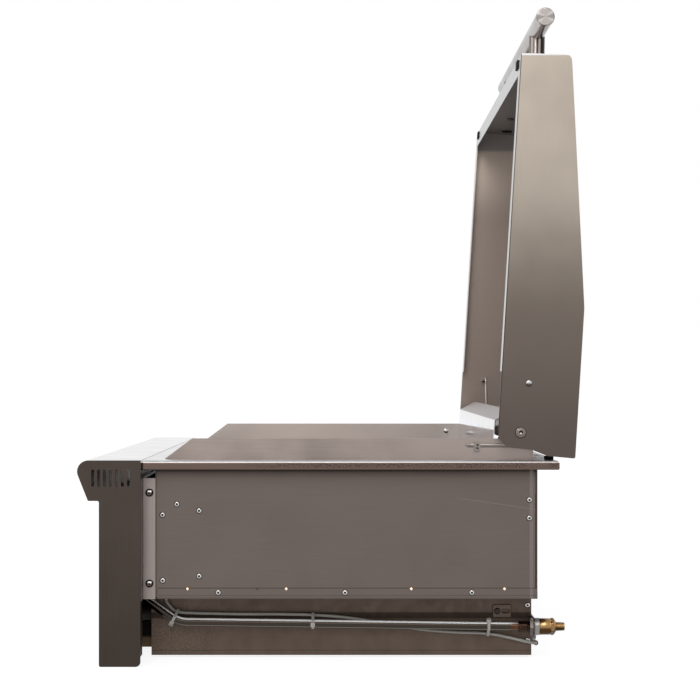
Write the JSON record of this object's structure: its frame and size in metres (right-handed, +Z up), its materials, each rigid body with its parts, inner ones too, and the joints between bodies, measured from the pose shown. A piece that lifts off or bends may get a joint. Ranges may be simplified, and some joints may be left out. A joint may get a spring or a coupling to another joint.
{
  "type": "built-in griddle",
  "caption": "Built-in gas griddle with a hinged stainless hood, control panel, sliding drip tray, side gas tube and brass inlet.",
  "frame": {"origin": "centre of the counter cut-out, at the counter's top surface", "axes": "+X right for someone facing the controls, +Y to the back, +Z up"},
  "size_m": [0.814, 0.6692, 0.886],
  "materials": {
    "brushed_stainless": "brushed",
    "panel_stainless": "brushed",
    "hood_stainless": "brushed",
    "polished_stainless": "polished",
    "plate_steel": "ground",
    "galvanised_sheet": "spangled",
    "tube_steel": "drawn",
    "burner_steel": "rolled",
    "plated_fixings": "plated",
    "spring_wire": "drawn",
    "brass": "machined",
    "black_rubber": "moulded",
    "grey_nylon": "moulded",
    "lead_sheath": "extruded",
    "black_plastic": "moulded",
    "ceramic": "glazed"
  },
  "bodies": {
    "base": {"deck_rim": "brushed_stainless", "firebox_side_right": "brushed_stainless", "firebox_side_left": "brushed_stainless", "firebox_back": "brushed_stainless", "splash_guard_right": "brushed_stainless", "splash_guard_left": "brushed_stainless", "panel_brackets": "brushed_stainless", "knob_bezels": "brushed_stainless", "control_panel": "panel_stainless", "panel_end_right": "panel_stainless", "panel_end_left": "panel_stainless", "rear_deflector": "polished_stainless", "griddle_plate": "plate_steel", "grease_trough": "plate_steel", "drain_tube": "plate_steel", "firebox_floor": "galvanised_sheet", "burner_box": "galvanised_sheet", "tray_housing": "galvanised_sheet", "tray_runners": "galvanised_sheet", "level_brackets": "galvanised_sheet", "inlet_bracket": "galvanised_sheet", "gas_tube": "tube_steel", "gas_manifold": "tube_steel", "inlet_rings": "tube_steel", "burner_right": "burner_steel", "burner_left": "burner_steel", "air_shutters": "burner_steel", "panel_screws": "plated_fixings", "pop_rivets": "plated_fixings", "spring_clips": "plated_fixings", "spring_right": "spring_wire", "spring_left": "spring_wire", "gas_inlet": "brass", "valve_bodies": "brass", "pivot_bushes": "brass", "hood_stops": "black_rubber", "cable_ties": "grey_nylon", "lead_fixings": "grey_nylon", "power_lead": "lead_sheath", "igniter_module": "black_plastic", "lead_connector": "black_plastic", "igniter_electrodes": "ceramic"},
    "hood": {"hood_shell": "hood_stainless", "hood_side_right": "hood_stainless", "hood_side_left": "hood_stainless", "handle_bar": "polished_stainless", "handle_caps": "polished_stainless", "handle_posts": "hood_stainless", "hood_screws": "plated_fixings", "lip_pads": "black_rubber", "pivot_bolts": "plated_fixings", "pivot_rings": "plated_fixings"},
    "valve_right": {"valve_plug_right": "brass"},
    "control_right": {"valve_stem_right": "brass", "knob_right": "brushed_stainless"},
    "valve_left": {"valve_plug_left": "brass"},
    "control_left": {"valve_stem_left": "brass", "knob_left": "brushed_stainless"},
    "igniter": {"igniter_button": "black_plastic"},
    "tray": {"drip_tray": "plate_steel"}
  },
  "joints": [
    {"name": "hood_hinge", "type": "hinge", "parent": "base", "child": "hood", "pos_m": [0, 0.2384, 0.0485], "axis": [1, 0, 0], "range_deg": [0, 94], "stiffness_Nm_per_rad": 3, "deforming": ["spring_right", "spring_left"]},
    {"name": "knob_turn_right", "type": "hinge", "parent": "base", "child": "valve_right", "pos_m": [0.165, -0.3, -0.118], "axis": [0, -1, 0], "range_deg": [0, 210]},
    {"name": "knob_push_right", "type": "slide", "parent": "valve_right", "child": "control_right", "axis": [0, 1, 0], "range_m": [0, 0.003], "stiffness_N_per_m": 1500, "springref_m": -0.001},
    {"name": "knob_turn_left", "type": "hinge", "parent": "base", "child": "valve_left", "pos_m": [-0.165, -0.3, -0.118], "axis": [0, -1, 0], "range_deg": [0, 210]},
    {"name": "knob_push_left", "type": "slide", "parent": "valve_left", "child": "control_left", "axis": [0, 1, 0], "range_m": [0, 0.003], "stiffness_N_per_m": 1500, "springref_m": -0.001},
    {"name": "igniter_push", "type": "slide", "parent": "base", "child": "igniter", "axis": [0, 1, 0], "range_m": [0, 0.004], "stiffness_N_per_m": 1200, "springref_m": -0.001},
    {"name": "tray_slide", "type": "slide", "parent": "base", "child": "tray", "axis": [0, -1, 0], "range_m": [0, 0.43]}
  ]
}
